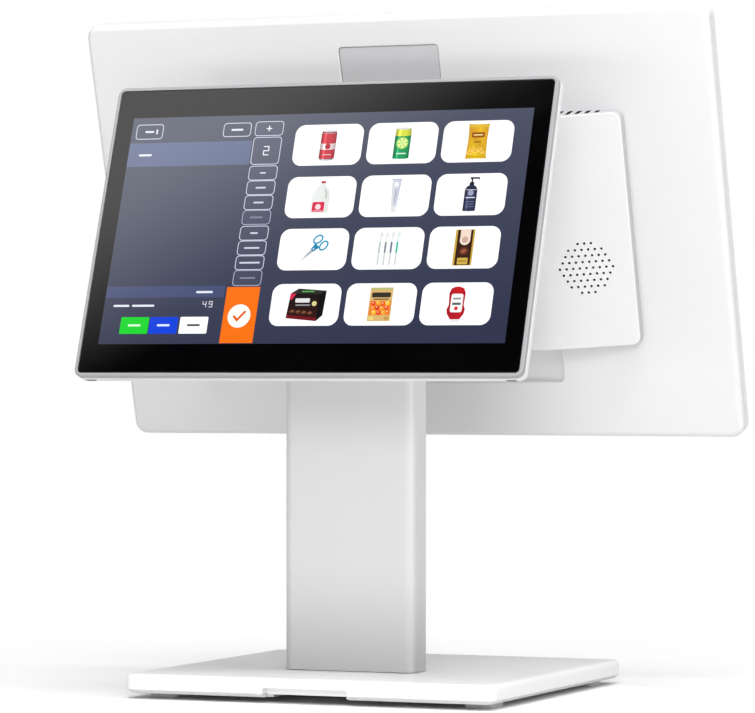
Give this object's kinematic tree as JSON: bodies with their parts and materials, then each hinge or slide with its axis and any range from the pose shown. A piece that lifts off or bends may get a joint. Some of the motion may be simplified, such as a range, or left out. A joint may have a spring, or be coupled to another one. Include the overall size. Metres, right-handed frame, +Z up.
{
  "type": "pos touchscreen terminal",
  "caption": "Dual-screen sales terminal: large tilting touch display with rear compute box, smaller customer display, rectangular column and flat weighted base.",
  "frame": {"origin": "middle of the whole outline, on the surface that the four feet stand on", "axes": "+X to the right as the shopper sees it, the customer screen faces -Y, the operator screen faces +Y, +Z up"},
  "size_m": [0.3556, 0.2099, 0.3589],
  "materials": {
    "white_paint": "fine satin powder coat",
    "white_shell": "fine satin moulded plastic",
    "pale_trim": "satin moulded plastic",
    "bare_aluminium": "bead-blasted",
    "weight_steel": "black phosphate",
    "spine_steel": "zinc plated",
    "bracket_steel": "dark grey powder coat",
    "fastener_steel": "zinc plated",
    "foot_rubber": "soft grey rubber",
    "cover_glass": "black-backed cover glass",
    "panel_module": "display module",
    "chassis_aluminium": "rolled sheet",
    "circuit_board": "solder mask",
    "connector_black": "moulded connector",
    "speaker_black": "moulded speaker box",
    "button_plastic": "satin key cap"
  },
  "bodies": {
    "stand": {"base_top_cover": "white_paint", "base_weight_plate": "weight_steel", "base_bottom_plate": "white_shell", "base_screw_1": "fastener_steel", "base_screw_2": "fastener_steel", "base_screw_3": "fastener_steel", "base_screw_4": "fastener_steel", "foot_front_left": "foot_rubber", "foot_front_right": "foot_rubber", "foot_rear_left": "foot_rubber", "foot_rear_right": "foot_rubber", "column_front_shell": "white_paint", "column_rear_cover": "white_shell", "column_spine": "spine_steel", "column_head": "bare_aluminium", "customer_hinge_pin": "fastener_steel", "main_hinge_pin": "fastener_steel", "customer_friction_washer_left": "fastener_steel", "customer_friction_washer_right": "fastener_steel", "main_friction_washer_left": "fastener_steel", "main_friction_washer_right": "fastener_steel"},
    "customer_display": {"customer_glass": "cover_glass", "customer_front_frame": "pale_trim", "customer_back_shell": "white_shell", "customer_lcd_module": "panel_module", "customer_driver_board": "circuit_board", "customer_mount_plate": "bracket_steel", "customer_hinge_arm_left": "bracket_steel", "customer_hinge_arm_right": "bracket_steel", "customer_edge_plug_left": "connector_black", "customer_edge_plug_right": "connector_black", "customer_screw_1": "fastener_steel", "customer_screw_2": "fastener_steel", "customer_screw_3": "fastener_steel", "customer_screw_4": "fastener_steel"},
    "main_unit": {"main_glass": "cover_glass", "main_front_frame": "white_shell", "main_lcd_module": "panel_module", "main_chassis_plate": "chassis_aluminium", "main_back_shell": "white_shell", "upper_service_door": "pale_trim", "compute_box_cover": "white_shell", "drawer_port": "connector_black", "lan_port": "connector_black", "usb_port_left": "connector_black", "usb_port_right": "connector_black", "dc_inlet": "connector_black", "mainboard": "circuit_board", "heat_spreader": "chassis_aluminium", "speaker_left": "speaker_black", "speaker_right": "speaker_black", "main_mount_plate": "bracket_steel", "main_hinge_arm_left": "bracket_steel", "main_hinge_arm_right": "bracket_steel", "main_screw_1": "fastener_steel", "main_screw_2": "fastener_steel", "main_screw_3": "fastener_steel", "main_screw_4": "fastener_steel", "power_button_board": "circuit_board"},
    "power_button": {"power_button": "button_plastic"}
  },
  "joints": [
    {"name": "customer_tilt", "type": "hinge", "parent": "stand", "child": "customer_display", "pos_m": [0, -0.0454, 0.232], "axis": [1, 0, 0], "range_deg": [-10, 19]},
    {"name": "main_tilt", "type": "hinge", "parent": "stand", "child": "main_unit", "pos_m": [0, 0.0084, 0.232], "axis": [1, 0, 0], "range_deg": [-15, 10]},
    {"name": "power_button_press", "type": "slide", "parent": "main_unit", "child": "power_button", "axis": [0, -0.2724, 0.9622], "range_m": [0, 0.001], "stiffness_N_per_m": 800, "springref_m": -0.0008}
  ]
}
